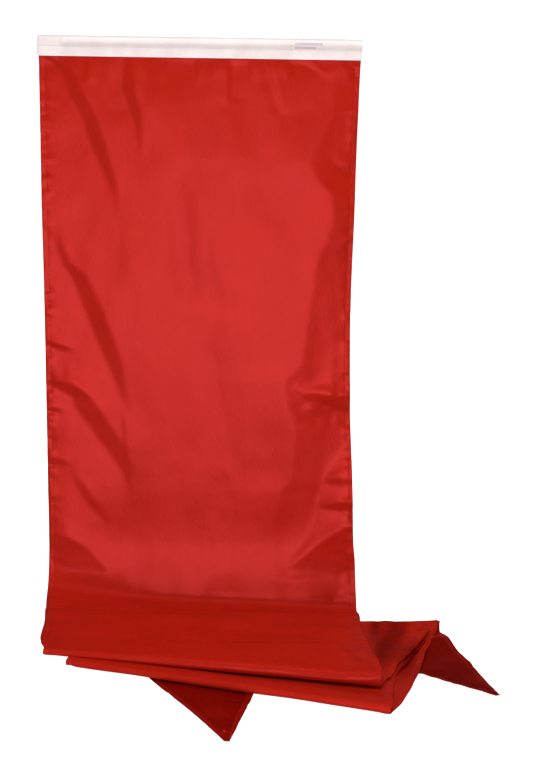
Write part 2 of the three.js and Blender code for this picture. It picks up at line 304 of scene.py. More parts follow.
beech, tree, shader = new_material("beech_dowel", Roughness=0.6, Specular_IOR_Level=0.35)
place = add(tree, "ShaderNodeTexCoord").outputs["Object"]
along = add(tree, "ShaderNodeMapping", {"Vector": place, "Scale": (9, 420, 420)})
grain = add(tree, "ShaderNodeTexNoise", {"Vector": along.outputs[0], "Scale": 1.0, "Detail": 6.0})
wood = add(tree, "ShaderNodeValToRGB", {"Fac": grain.outputs["Fac"]})
wood.color_ramp.elements[0].position = 0.35
wood.color_ramp.elements[0].color = linear("#b98f5c")
wood.color_ramp.elements[1].position = 0.68
wood.color_ramp.elements[1].color = linear("#dcbd8c")
tree.links.new(wood.outputs["Color"], shader.inputs["Base Color"])
bump = add(tree, "ShaderNodeBump", {"Height": grain.outputs["Fac"], "Strength": 0.2, "Distance": 0.0003})
tree.links.new(bump.outputs[0], shader.inputs["Normal"])
print("made threads and beech")

# %% [markdown]
# ## The streamer's path
#
# Cloth only bends: it hardly stretches. So the strip is laid out as guide rows that run from its left
# edge to its right edge, in the order in which they follow each other down its length, and a surface is
# stretched through them. Each zigzag fold is a half turn about a crease. A cloth simulation could drop
# the strip on to the floor, but it would not land in these folds, so they are listed one by one.
#
# A guide row is: left edge (x, y, height above the floor), right edge, and the step between the mesh
# rows that follow it, all in mm. The first row is tucked up inside the heading.

# %% Lay out the guide rows
FINE, MEDIUM, COARSE, TURN = 4.5, 6.0, 9.0, 2.2
TUCK = 15

HANGING = [
    ((-303, -1.5, LOWER_EDGE + TUCK), (303, -1.5, LOWER_EDGE + TUCK), FINE),
    ((-303, -2.0, LOWER_EDGE), (302.5, -2.0, LOWER_EDGE), FINE),
    ((-302, -6, 960), (300, -6, 960), FINE),
    ((-301, -10, 780), (298, -10, 780), FINE),
    ((-299.5, -12, 620), (296, -12, 626), FINE),
    ((-299, -14, 417), (300, -14, 427), FINE),
    ((-298.5, -15, 250), (309, -16, 250), FINE),
    ((-298, -16, 130), (314, -17, 135), FINE),
    ((-298.5, -21, 97), (318, -22.5, 100), FINE),
    ((-299, -28.5, 66), (320, -32, 64), FINE),
    ((-299, -37, 48), (321.5, -39.5, 34), FINE),
    ((-298.5, -47, 40), (322.5, -44, 16), FINE),
    ((-297.5, -61, 34), (323, -53, 9.5), FINE),
    ((-296, -79, 31), (324, -75, 11), FINE),
]
FIRST_LAYER = [
    ((-294, -97, 30), (324, -102, 17), FINE),
    ((-292, -112, 29.5), (323.5, -130, 25), FINE),
    ((-291, -128, 29.5), (322.5, -160, 30), FINE),
    ((-282, -201, 29), (322, -205, 32), FINE),
    ((-280, -262, 28), (328, -275, 34), FINE),
    ((-273, -296, 28.5), (341, -370, 37), FINE),
]
SECOND_LAYER = [
    ((-248, -278, 13), (356, -392, 9.5), MEDIUM),
    ((-210, -215, 13), (388, -325, 12.5), MEDIUM),
    ((-178, -160, 17), (418, -270, 17), MEDIUM),
    ((-153, -128, 18.5), (438, -232, 19.5), MEDIUM),
]
THIRD_LAYER = [
    ((-153, -138, 12), (432, -244, 13.0), COARSE),
    ((-185, -200, 10), (386, -345, 9), FINE),
    ((-208, -285, 6.5), (363, -440, 6.5), FINE),
    ((-216, -318, 15), (357, -488, 16.5), FINE),
]
FOURTH_LAYER = [
    ((-214, -300, 3.2), (368, -487, 3.2), COARSE),
    ((-208, -230, 4.2), (411, -371, 4.6), COARSE),
    ((-196, -190, 6.0), (438, -275, 6.5), COARSE),
    ((-186, -166, 8.5), (462, -205, 12.0), MEDIUM),
]


FOLD_ROWS = 9


def fold_over(left, right, heights_left, heights_right, outward):
    """Guide rows of a half turn about the crease from left to right, which is its outermost line."""
    crease = Vector((right[0] - left[0], right[1] - left[1], 0)).normalized()
    out = Vector((crease.y, -crease.x, 0)) * outward
    rows = []
    for angle in np.linspace(math.pi / 2, -math.pi / 2, FOLD_ROWS):
        ends = []
        for (x, y), (top, bottom) in ((left, heights_left), (right, heights_right)):
            radius = (top - bottom) / 2
            spot = Vector((x, y, bottom + radius)) - out * radius * (1 - math.cos(angle))
            ends.append(tuple(spot + Vector((0, 0, radius * math.sin(angle)))))
        rows.append((ends[0], ends[1], TURN))
    return rows


guides = (
    HANGING
    + FIRST_LAYER
    + fold_over((-267, -321), (343, -431), (27.5, 14), (36, 8), 1)
    + SECOND_LAYER
    + fold_over((-130, -103), (454, -200), (19.5, 13.5), (20, 14), -1)
    + THIRD_LAYER
    + fold_over((-222, -343), (354, -523), (16.5, 2.6), (18, 2.6), 1)
    + FOURTH_LAYER
    + fold_over((-180, -150), (478, -146), (10, 1.6), (27, 5), -1)
)
print(len(guides), "guide rows")

# %% [markdown]
# ## A surface through the rows
#
# A Catmull-Rom curve through the left ends and one through the right ends keep the edges smooth. The
# length along both edges is kept as well, because the weave has to follow the real cloth.

# %% Sample the strip


def through(points, where):
    """Catmull-Rom curve through points, at whole and part steps."""
    points = np.asarray(points, float)
    where = np.clip(np.asarray(where, float), 0, len(points) - 1.000001)
    i = where.astype(int)
    t = (where - i)[:, None]
    knots = np.concatenate([[2 * points[0] - points[1]], points, [2 * points[-1] - points[-2]]])
    p0, p1, p2, p3 = knots[i], knots[i + 1], knots[i + 2], knots[i + 3]
    pairs = ((p0, p1), (p1, p2), (p2, p3))
    spans = [np.maximum(np.linalg.norm(b - a, axis=1)[:, None], 1e-6) for a, b in pairs]
    slope_in = (p1 - p0) / spans[0] * spans[1] * 0.5 + (p2 - p1) * 0.5
    slope_out = (p3 - p2) / spans[2] * spans[1] * 0.5 + (p2 - p1) * 0.5
    t2, t3 = t * t, t * t * t
    leaving = (2 * t3 - 3 * t2 + 1) * p1 + (t3 - 2 * t2 + t) * slope_in
    return leaving + (3 * t2 - 2 * t3) * p2 + (t3 - t2) * slope_out


def run_length(points):
    """Length along a line of points, at each of them."""
    steps = np.linalg.norm(np.diff(points, axis=0), axis=1)
    return np.concatenate([[0], np.cumsum(steps)])


left_ends = np.array([guide[0] for guide in guides], float)
right_ends = np.array([guide[1] for guide in guides], float)
places = []
for i, (guide, following) in enumerate(zip(guides, guides[1:])):
    span = max(math.dist(guide[0], following[0]), math.dist(guide[1], following[1]))
    count = max(1, math.ceil(span / guide[2]))
    places.extend(i + np.arange(count) / count)
places = np.array(places + [len(guides) - 1])
left_line = through(left_ends, places)
right_line = through(right_ends, places)
left_run, right_run = run_length(left_line), run_length(right_line)
print(f"{len(places)} rows, edges {left_run[-1]:.0f} and {right_run[-1]:.0f} mm to the last crease")

# %% [markdown]
# ## Columns
#
# Both side hems are turned back 9.5 mm and stitched. The columns are close together there, so that the
# edge can round over, the stitch line can sink in and the hem can pucker, and 5 mm apart elsewhere.

# %% Space the columns
HEM_COLUMNS = [0, 1.2, 3.2, 5.8, 8.2, 9.5, 10.8, 14.0]  # mm in from an edge
STITCH_COLUMN = 5
PLAIN_COLUMNS = 58  # from the hem to the middle
NARROW = 60  # mm: a half strip narrower than this has a narrower hem too


def half_columns(width, both_edges):
    """Shares across half a strip, from its outer edge to its inner one, which may be hemmed too."""
    hem = np.array(HEM_COLUMNS) * min(1, width / NARROW)
    if both_edges:
        plain = np.linspace(hem[-1], width - hem[-1], PLAIN_COLUMNS + 2 - len(hem))[1:-1]
        spots = np.concatenate([hem, plain, width - hem[::-1]])
    else:
        plain = np.linspace(hem[-1], width, PLAIN_COLUMNS + 1)[1:]
        spots = np.concatenate([hem, plain])
    return spots / width


plain_half = half_columns(HALF, False)
shares = np.concatenate([plain_half / 2, 1 - plain_half[-2::-1] / 2])
MIDDLE = len(plain_half) - 1
print(len(shares), "columns, the middle one is", MIDDLE)

# %% [markdown]
# ## Relief
#
# Satin cloth shows its shape by its gloss: where it faces the big soft light it is bright, and where it
# tips away by ten degrees it goes dark. So each soft pleat is a band between two lines, over which the
# cloth slopes, and beyond which it eases back. Bands that run down the cloth slope across it, and the
# puckers and leaf-shaped dents slope down it. All sizes are in mm: x across from the middle, and the
# drop below the heading's lower edge, along the cloth.

# %% Make the relief tools
CELLS = 64
FAR = 200  # cells, which keeps the noise's coordinates positive


def ease(t):
    """0 up to t = 0, 1 from t = 1, and a smooth step between them."""
    t = np.clip(t, 0, 1)
    return t * t * (3 - 2 * t)


def band(across, along, rows, tilt, reach=70.0, fade=45.0, share=0.5):
    """Height of a sloped band. rows holds (along, start across, end across).

    Over the band the cloth rises by tilt. It eases back within reach on both sides, and share says how
    much of the rise lies before the band's middle. The band fades out beyond its ends.
    """
    stops = np.array([row[0] for row in rows], float)
    start = np.interp(along, stops, [row[1] for row in rows])
    end = np.interp(along, stops, [row[2] for row in rows])
    rise = tilt * (end - start)
    t = (across - start) / (end - start)
    on = np.clip(t, 0, 1) - share
    before = -share * np.exp(-np.maximum(start - across, 0) / reach)
    after = (1 - share) * np.exp(-np.maximum(across - end, 0) / reach)
    shape = np.where(t < 0, before, np.where(t > 1, after, on))
    window = ease((along - stops[0] + fade) / fade) * ease((stops[-1] + fade - along) / fade)
    return rise * shape * window


def value_noise(x, y, cell_x, cell_y, seed):
    """Smooth random field from -1 to 1 with the given cell sizes. It repeats after CELLS cells."""
    table = np.random.default_rng(seed).uniform(-1, 1, (CELLS, CELLS))
    u, v = x / cell_x + FAR, y / cell_y + FAR
    i, j = np.floor(u).astype(int), np.floor(v).astype(int)
    fu, fv = ease(u - i), ease(v - j)
    here_i, here_j, next_i, next_j = i % CELLS, j % CELLS, (i + 1) % CELLS, (j + 1) % CELLS
    top = table[here_i, here_j] * (1 - fu) + table[next_i, here_j] * fu
    low = table[here_i, next_j] * (1 - fu) + table[next_i, next_j] * fu
    return top * (1 - fv) + low * fv


def window(values, low, high, soft):
    """1 between low and high, easing to 0 over soft on both sides."""
    return ease((values - low + soft) / soft) * ease((high + soft - values) / soft)


print("relief tools ready")

# %% [markdown]
# The cloth hangs from its two top corners and its feet stand on the floor, so long pleats run inwards
# from the left edge, and the right margin turns back. Short gathers start at the heading's seam, and
# leaf-shaped dents open at the edges, where the hem is tighter than the cloth. Each has its own place.

# %% Place the pleats, gathers and dents of the hanging part
# Bands that run down the cloth: rows of (drop, start x, end x), tilt, reach.
PLEATS = [
    ([(-5, -262, -252), (15, -266, -242), (72, -248, -214), (112, -224, -192), (175, -204, -173),
      (235, -175, -158), (262, -162, -156)], 0.21, 60),
    ([(-4, -142, -124), (60, -148, -120), (100, -136, -110), (130, -122, -108), (160, -116, -110)], 0.24, 45),
    ([(355, -274, -264), (391, -263, -245), (416, -246, -215), (479, -222, -187), (542, -197, -163),
      (594, -174, -147), (646, -156, -138), (672, -142, -134)], 0.20, 55),
    ([(610, -262, -254), (640, -252, -222), (677, -242, -194), (717, -212, -166), (755, -186, -144),
      (800, -154, -130), (835, -140, -131)], 0.17, 55),
    ([(812, -250, -243), (835, -240, -224), (868, -222, -202), (902, -192, -180),
      (915, -182, -176)], 0.17, 40),
    ([(224, 4, 14), (300, 6, 20), (402, 10, 17)], -0.07, 30),
    ([(90, -112, -82), (200, -88, -36), (300, -48, 14), (430, -10, 50)], 0.055, 90),
    ([(220, -78, -38), (330, -62, -20), (440, -52, -16)], -0.065, 80),
    ([(30, 30, 70), (150, 60, 110), (280, 90, 130)], -0.05, 80),
    ([(520, 20, 60), (640, 40, 90), (760, 60, 100)], 0.06, 90),
    ([(680, -152, -147), (700, -154, -142), (745, -148, -138), (765, -143, -139)], 0.25, 25),
]
# The right margin turns back, as far as the hem, or as far as the bright wedge low down.
MARGIN = [
    (20, 258, 314), (60, 250, 314), (97, 254, 314), (150, 225, 314), (188, 209, 314), (225, 225, 314),
    (250, 254, 314), (290, 258, 314), (325, 250, 314), (383, 228, 314), (457, 218, 314), (515, 210, 314),
    (580, 200, 314), (620, 168, 314), (670, 174, 314), (713, 190, 314), (750, 190, 288), (785, 186, 268),
    (822, 180, 248), (845, 165, 242), (916, 150, 226), (960, 148, 204), (1000, 150, 180),
]
# Dents that slope down the cloth: rows of (x, top drop, bottom drop), tilt, reach.
DENTS = [
    ([(-292, 543, 551), (-267, 550, 562), (-244, 560, 563)], 0.50, 16),
    ([(-292, 619, 629), (-253, 626, 652), (-228, 642, 656), (-210, 656, 660)], 0.36, 22),
    ([(-292, 936, 1000), (-260, 942, 1012), (-218, 964, 1016), (-182, 1004, 1018)], 0.21, 90),
    ([(196, 634, 644), (222, 640, 660), (250, 636, 656), (262, 640, 662)], 0.28, 28),
    ([(236, 654, 662), (262, 644, 678), (298, 640, 680)], 0.46, 50),
    ([(208, 664, 670), (232, 672, 690), (262, 684, 690)], 0.26, 24),
    ([(262, 814, 824), (280, 808, 828), (304, 810, 827)], 0.34, 30),
    ([(254, 869, 876), (280, 858, 880), (306, 857, 878)], 0.34, 30),
    ([(157, 1012, 1020), (195, 988, 1024), (268, 928, 1016), (320, 896, 1012)], 0.30, 150),
    ([(-290, 777, 785), (-262, 788, 792)], 0.50, 10),
    ([(-288, 675, 683), (-268, 683, 687)], 0.50, 8),
    ([(266, 190, 198), (284, 192, 206), (300, 196, 206)], 0.35, 14),
]
# Short gathers below the heading, where the cloth was fed unevenly: (x at top, x at bottom, from, to,
# tilt). Each narrows on its way down, from one half width to the other.
WIDE_HALF, THIN_HALF = 6.5, 4
GATHERS = [
    (-212, -213, 6, 38, 0.30), (-100, -98, 2, 26, -0.20), (-5, -6, 2, 34, 0.22), (55, 56, 14, 72, -0.30),
    (94, 96, 4, 28, 0.26), (128, 152, 6, 88, 0.30), (162, 169, 2, 24, -0.28), (197, 226, 4, 22, 0.30),
    (268, 288, 1, 24, -0.45), (-285, -262, 3, 20, 0.40), (-180, -176, 2, 30, 0.16), (20, 22, 3, 26, 0.18),
]


def hanging_relief(x, drop):
    """Height of the hanging part's relief: placed bands first, then random sway, crumples and waves."""
    height = np.zeros_like(x)
    for rows, tilt, reach in PLEATS:
        height += band(x, drop, rows, tilt, reach)
    height += band(x, drop, MARGIN, -0.17, 150, 20, 0.22)
    for rows, tilt, reach in DENTS:
        height -= band(drop, x, rows, tilt, reach, 12, 0.68)
    for x_top, x_low, start, end, tilt in GATHERS:
        rows = [(start, x_top - WIDE_HALF, x_top + WIDE_HALF), (end, x_low - THIN_HALF, x_low + THIN_HALF)]
        height += band(x, drop, rows, 1.15 * tilt, 14, 12)
    height += 2.2 * value_noise(x, drop, 110, 240, 3) + 0.9 * value_noise(x, drop, 42, 95, 4)
    height += 0.22 * value_noise(x, drop, 14, 26, 5)
    crumple = window(x, 205, 285, 25) * window(drop, 640, 685, 30)
    height += 1.5 * crumple * value_noise(x, drop, 13, 11, 6)
    edge = ease((abs(x) - 262) / 22)
    height += 0.9 * edge * value_noise(x, drop, 17, 12, 7)
    foot = window(drop, 1064, 1085, 62)
    height += foot * (5.5 * value_noise(x, drop, 56, 400, 12) + 2.2 * value_noise(x, drop, 26, 300, 13))
    return height


print(len(PLEATS), "pleats,", len(DENTS), "dents,", len(GATHERS), "gathers")

# %% [markdown]
# ## The foot and the layers on the floor
#
# At the floor the cloth turns forward in a soft, uneven curve, and the top layer lies in low waves. The
# lower layers only show at their edges, so they get broad waves that keep them clear of each other.

# %% Relief of the floor layers


def floor_relief(x, drop, layer):
    """Height of the waves in the layers on the floor. layer is 1 for the top one."""
    first = band(drop, x, [(-290, 1120, 1150), (-120, 1135, 1175), (60, 1160, 1190)], 0.15, 45, 60)
    first += band(drop, x, [(-60, 1190, 1215), (120, 1230, 1255), (300, 1270, 1300)], -0.16, 40, 40)
    lip = [(-30, 1298, 1304), (20, 1306, 1313), (195, 1314, 1322), (330, 1302, 1309)]
    first += band(drop, x, lip, 0.42, 9, 30)
    first += band(drop, x, [(240, 1300, 1312), (335, 1312, 1326)], -0.30, 12, 20)
    first += band(drop, x, [(265, 1350, 1358), (340, 1352, 1366)], 0.35, 9, 14)
    first += 1.6 * window(x, 285, 345, 40) * window(drop, 1240, 1420, 40) * value_noise(x, drop, 15, 34, 14)
    first += 2.2 * value_noise(x, drop, 130, 60, 8) + 0.5 * value_noise(x, drop, 40, 22, 10)
    lower = 0.9 * value_noise(x, drop, 90, 60, 9)
    return np.where(layer == 1, first, lower)


print("floor relief ready")

# %% [markdown]
# ## Building the strip
#
# The rows and columns make a grid of points. Its normals say which way is "out" of the good side, and
# the relief pushes each point along them.

# %% Make the tools for a grid of points
HANG_ROWS = len(HANGING)
FIRST_FOLD = HANG_ROWS + len(FIRST_LAYER)
LAST_FOLD = len(guides) - FOLD_ROWS
GROOVE, PUCKER = -0.4, 1.5  # mm, at a hem's stitches and beside them


def grid_quads(rows, columns):
    """Corner numbers of the faces between the points of a grid."""
    index = np.arange(rows * columns).reshape(rows, columns)
    return np.stack([index[:-1, :-1], index[1:, :-1], index[1:, 1:], index[:-1, 1:]], -1).reshape(-1, 4)


def outward_normals(grid):
    """Normals of a grid's points, on the streamer's good side."""
    down = np.gradient(grid, axis=0)
    across = np.gradient(grid, axis=1)
    normals = np.cross(down, across)
    return normals / np.maximum(np.linalg.norm(normals, axis=2, keepdims=True), 1e-9)


def soften(field):
    """Rounds off the corners of a relief."""
    padded = np.pad(field, 1, mode="edge")
    field = (padded[:-2, 1:-1] + 2 * padded[1:-1, 1:-1] + padded[2:, 1:-1]) / 4
    padded = np.pad(field, 1, mode="edge")
    return (padded[1:-1, :-2] + 2 * padded[1:-1, 1:-1] + padded[1:-1, 2:]) / 4


def hem_relief(inset, run, seed):
    """The sunk stitch line of a hem, and the puckers that its stitching pulls up."""
    groove = GROOVE * np.exp(-(((inset - HEM_COLUMNS[STITCH_COLUMN]) / 1.2) ** 2))
    still = np.zeros_like(run)
    pull = value_noise(run, still, 9, 50, seed) + 0.6 * value_noise(run, still, 23, 50, seed + 1)
    return groove + PUCKER * np.exp(-(((inset - 8) / 8) ** 2)) * pull


print("hanging rows end at", HANG_ROWS, "and the last fold starts at", LAST_FOLD)

# %% [markdown]
# A plain sheet between two edges would be ruled with straight lines. At the foot the cloth turns forward
# sooner on the right than on the left, and there its middle follows the right edge more than the left.

# %% Lay the grid
across_share = np.broadcast_to(shares, (len(places), len(shares)))
at = np.broadcast_to(places[:, None], across_share.shape)  # the guide row that each point is level with
near_foot = (ease((at - 5.5) / 2) * ease((HANG_ROWS + 1.5 - at) / 2))[..., None]
plain_share = across_share[..., None]
shape_share = plain_share * (1 - near_foot) + (1 - (1 - plain_share) ** 2) * near_foot
strip = left_line[:, None] * (1 - shape_share) + right_line[:, None] * shape_share
strip[..., 0] = left_line[:, :1] * (1 - across_share) + right_line[:, :1] * across_share
run_down = left_run[:, None] * (1 - across_share) + right_run[:, None] * across_share
drop = run_down - TUCK
x_flat = (across_share - 0.5) * HOIST
print("grid of", strip.shape[0], "x", strip.shape[1], "points")

# %% Press in the relief
hang_weight = ease((drop + 3) / 14) * ease((HANG_ROWS - 0.4 - at) / 2.5)
relief = soften(hanging_relief(strip[..., 0], drop) * hang_weight)
layer = np.where(at < FIRST_FOLD + 4, 1, 2)
floor_weight = ease((at - HANG_ROWS + 2.5) / 1.5)
relief += soften(floor_relief(strip[..., 0], drop, layer)) * floor_weight
hem_weight = ease((drop - 2) / 8)
relief += hem_relief(across_share * HOIST, run_down, 11) * hem_weight
relief += hem_relief((1 - across_share) * HOIST, run_down, 21) * hem_weight
strip = strip + outward_normals(strip) * relief[..., None]
print(f"relief from {relief.min():.1f} to {relief.max():.1f} mm")

# %% [markdown]
# The right end of the folds lies loose. Its side edges wander, and its upper layers are crumpled, but no
# point goes through the floor.

# %% Crumple the right end
CLOTH_REST = 1.8  # mm: height of the lowest cloth above the floor
crumpled = 5.5 * value_noise(strip[..., 0], strip[..., 1], 34, 42, 15)
crumpled += 3.0 * value_noise(strip[..., 0] + strip[..., 1], strip[..., 1], 17, 30, 16)
right_end = ease((strip[..., 0] - 318) / 45) * window(strip[..., 1], -400, -175, 50)
sway = ease((at - FIRST_FOLD - 7) / 3) * ease((LAST_FOLD + 1 - at) / 4) * ease((across_share - 0.8) / 0.2)
strip[..., 0] += 5.0 * sway * value_noise(run_down, np.zeros_like(run_down), 46, 50, 17)
loose = np.clip(strip[..., 2] / 24, 0, 1) * ease((at - HANG_ROWS) / 2) * ease((LAST_FOLD + 3 - at) / 4)
strip[..., 2] = np.maximum(strip[..., 2] + crumpled * right_end * loose, CLOTH_REST)
print(f"lowest cloth {strip[..., 2].min():.1f} mm above the floor")

# %% [markdown]
# ## The two tails
#
# The end is cut to a V, 0.4 m deep, so it has two tails. Both come out from under the last crease and
# lie on the floor, a single ply. Each is a grid between the streamer's outer edge and the V's own edge.

# %% Lay out the tails
TAIL_REST = CLOTH_REST
APEX = (155, -168, TAIL_REST)
TIP_SHARE = 0.978  # the tips are blunt: the grids stop short of the point
TAIL_ROWS = 84
FAN_SHARE = 0.12  # the part of a tail over which its columns spread out to its width
LOWEST_WAVE = 1.3  # mm above the floor

last_row = strip[-1]
TAILS = {
    "left": {
        "outer": [(-66, -386, TAIL_REST), (14, -516, TAIL_REST), (81, -636, TAIL_REST)],
        "inner": [(119, -452, TAIL_REST), (81, -636, TAIL_REST)],
    },
    "right": {
        "outer": [
            (489, -215, 15.0),
            (500, -245, 5.0),
            (520, -305, 2.5),
            (536, -370, TAIL_REST),
            (554, -446, TAIL_REST),
        ],
        "inner": [(285, -255, TAIL_REST), (418, -350, TAIL_REST), (554, -446, TAIL_REST)],
    },
}


def tail_relief(x, y, side):
    """Low waves of a tail on the floor."""
    waves = 2.2 * value_noise(x, y, 70, 90, 31 if side == "left" else 41)
    if side == "left":
        waves += band(x + 0.35 * y, -y, [(380, -95, -80), (500, -104, -92), (610, -112, -104)], 0.30, 25, 40)
        waves += band(-y, x, [(-40, 430, 440), (60, 470, 482), (130, 480, 494)], 0.28, 26, 30)
    else:
        waves += band(-y, x, [(420, 335, 348), (480, 360, 376), (530, 398, 410)], 0.18, 30, 30)
        waves += band(-y, x, [(470, 250, 262), (520, 300, 316)], -0.22, 24, 20)
    return waves


def make_tail(side):
    """Points and weave coordinates of one tail. Its columns run from the outer edge to the V's."""
    start = last_row[0] if side == "left" else last_row[-1]
    outer_points = [tuple(start)] + TAILS[side]["outer"]
    inner_points = [tuple(last_row[MIDDLE]), APEX] + TAILS[side]["inner"]
    t = np.linspace(0, 1, TAIL_ROWS) ** 1.05
    lines = []
    for points in (outer_points, inner_points):
        dense = through(points, np.linspace(0, len(points) - 1, 400))
        run = run_length(dense)
        wanted = t * TIP_SHARE * run[-1]
        line = np.stack([np.interp(wanted, run, dense[:, k]) for k in range(3)], 1)
        lines.append((line, wanted, run[-1]))
    (outer, outer_run, _), (inner, inner_run, inner_length) = lines
    widths = np.linalg.norm(outer - inner, axis=1)
    fan = ease(t / FAN_SHARE)
    spread = [half_columns(max(width, 8.0), True) for width in widths]
    share = np.array([plain_half * (1 - f) + wide * f for f, wide in zip(fan, spread)])
    outer_down, inner_down = (np.broadcast_to(run[:, None], share.shape) for run in (outer_run, inner_run))
    grid = outer[:, None] * (1 - share[..., None]) + inner[:, None] * share[..., None]
    lift = tail_relief(grid[..., 0], grid[..., 1], side) * ease(t / 0.2)[:, None]
    lift += hem_relief(share * widths[:, None], outer_down, 51) * 0.8 * fan[:, None]
    lift += hem_relief((1 - share) * widths[:, None], inner_down, 61) * 0.8 * fan[:, None]
    grid[..., 2] = np.maximum(grid[..., 2] + lift, LOWEST_WAVE)
    apex_run = np.linalg.norm(np.array(APEX) - last_row[MIDDLE])
    past_apex = np.clip((inner_run - apex_run) / (inner_length - apex_run), 0, 1)[:, None]
    u = (1 - past_apex) * HALF * share
    v = (left_run if side == "left" else right_run)[-1] + outer_down
    if side == "right":
        u = HOIST - u
    return grid, u, v


tails = {side: make_tail(side) for side in ("left", "right")}

# %% [markdown]
# ## From grids to one sheet
#
# Every grid becomes quads in the same mesh. A hem is one more narrow grid: the first columns of the
# strip again, a cloth's thickness behind it, which share its edge. Points that meet are merged, so the
# sheet is one piece, as the real one is.

# %% Make the tools for one sheet
HEM_GAP = 0.9  # mm between a hem and the cloth it is turned on to


class SheetMesh:
    """Collects grids of points, weave coordinates and painted lightness values, which set the painted shade.
    """

    def __init__(self):
        self.points, self.weave, self.ply, self.faces = [], [], [], []

    def add_grid(self, grid, u, v, ply, flip=False):
        """Takes in a grid. flip turns its faces round."""
        rows, columns = grid.shape[:2]
        base = sum(len(block) for block in self.points)
        self.points.append(grid.reshape(-1, 3))
        self.weave.append(np.stack([u, v], -1).reshape(-1, 2))
        self.ply.append(np.broadcast_to(ply, (rows, columns)).reshape(-1))
        quads = base + grid_quads(rows, columns)
        self.faces.append(quads[:, ::-1] if flip else quads)

    def make(self, name, material):
        """Merges the points that meet and makes the piece."""
        points = np.concatenate(self.points) * MM
        points[:, 2] += FLOOR * MM
        faces = np.concatenate(self.faces)
        mesh = bpy.data.meshes.new(name)
        mesh.from_pydata(points.tolist(), [], faces.tolist())
        weave = np.concatenate(self.weave) * MM
        mesh.uv_layers.new(name="weave").data.foreach_set("uv", weave[faces.reshape(-1)].ravel())
        mesh.attributes.new("ply", "FLOAT", "POINT").data.foreach_set("value", np.concatenate(self.ply))
        whole = bmesh.new()
        whole.from_mesh(mesh)
        bmesh.ops.remove_doubles(whole, verts=whole.verts, dist=1e-6)
        whole.to_mesh(mesh)
        whole.free()
        mesh.shade_smooth()
        mesh.materials.append(material)
        return new_object(name, mesh)


def hem_of(grid, normals, columns, first_row=0):
    """The turned-back hem: the same columns again, behind the cloth."""
    hem = grid[first_row:, columns].copy()
    gap = np.full(len(columns), HEM_GAP)
    gap[0] = 0.0
    hem -= normals[first_row:, columns] * gap[None, :, None]
    return hem


sheet = SheetMesh()
print("hems lie", HEM_GAP, "mm behind the cloth")

# %% [markdown]
# The loose right end of the folds gets painted shade as well, in patches. The strip goes in first, then
# its two hems. The seam lines are kept for the stitches.

# %% Put the strip and its hems in the sheet
u_strip, v_strip = x_flat + HALF, run_down
# Painted shade: patches of the loose right end of the folds are darkened, for the shadow between its layers.
right_end_painted_shade = ease((strip[..., 0] - 326) / 26) * ease((strip[..., 1] + 420) / 90) * (at > FIRST_FOLD + 5)
painted_shade_patches = value_noise(strip[..., 0] - 0.3 * strip[..., 1], strip[..., 1], 19, 95, 73)
ply_strip = 1 - right_end_painted_shade * np.clip(0.5 + 0.7 * painted_shade_patches, 0, 0.85)
sheet.add_grid(strip, u_strip, v_strip, ply_strip)
left_hem = list(range(STITCH_COLUMN + 1))
right_hem = [len(shares) - 1 - c for c in left_hem]
strip_normals = outward_normals(strip)
seams = {}
for side, columns in (("left", left_hem), ("right", right_hem)):
    hem = hem_of(strip, strip_normals, columns)
    flip = side == "left"
    sheet.add_grid(hem, u_strip[:, columns], v_strip[:, columns], ply_strip[:, columns], flip)
    seams[side] = [strip[:, columns[-1]], strip_normals[:, columns[-1]]]
print(len(strip_normals), "rows of strip in the sheet")

# %% Put the tails in the sheet
PAINTED_SHADE_FROM, PAINTED_SHADE_OVER = 42, 16  # mm from a tail's start to where its painted shade is full, and the change's length
HEM_LESS_PAINTED_SHADE = 0.22  # two plies at a hem, so the hems get less of the painted shade
NOTCH_HEM_FROM = int(TAIL_ROWS * 0.14)
TIP_BARE = 3  # rows at a tip without stitches

for side, (grid, u, v) in tails.items():
    mirrored = side == "right"
    run = run_length(grid[:, 0])
    # Painted shade: each tail turns deep red past its start, with random painted lighter patches and lighter
    # hems.
    ply_values = np.clip(1 - (run - PAINTED_SHADE_FROM) / PAINTED_SHADE_OVER, 0, 1)[:, None] * np.ones(grid.shape[1])
    ply_values += 0.22 * np.clip(value_noise(grid[..., 0], grid[..., 1], 52, 40, 71), -0.1, 1)
    ply_values[:, : STITCH_COLUMN + 1] += HEM_LESS_PAINTED_SHADE
    ply_values[:, -STITCH_COLUMN - 1 :] += HEM_LESS_PAINTED_SHADE
    ply_values = np.clip(ply_values, 0, 1)
    sheet.add_grid(grid, u, v, ply_values, mirrored)
    normals = outward_normals(grid) * (-1 if mirrored else 1)
    outer = left_hem
    inner = [grid.shape[1] - 1 - c for c in outer]
    for columns, first in ((outer, 0), (inner, NOTCH_HEM_FROM)):
        hem = hem_of(grid, normals, columns, first)
        flip = (columns is outer) != mirrored
        block = np.s_[first:, columns]
        sheet.add_grid(hem, u[block], v[block], ply_values[block], flip)
    for k, values in enumerate((grid, normals)):
        seams[side][k] = np.concatenate([seams[side][k], values[1:-TIP_BARE, STITCH_COLUMN]])
    notch_rows = np.s_[NOTCH_HEM_FROM:-TIP_BARE, inner[-1]]
    seams["notch_" + side] = [grid[notch_rows], normals[notch_rows]]

streamer = sheet.make("streamer", nylon)
triangles = sum(len(p.vertices) - 2 for p in streamer.data.polygons)
print(f"streamer: {len(streamer.data.vertices)} vertices, {triangles} triangles")

# %% [markdown]
# ## The canvas heading
#
# A strip of duck is folded over the streamer's top edge. A row of stitches under the fold makes a
# channel for the rod, so the front has a rounded ridge, a groove at the stitches, and a flat part below.
# It is one section, drawn as a line across the strip, that changes along the heading: round where the
# rod is, slack at the open right end, flat at the closed left end. Solidify gives it its thickness.

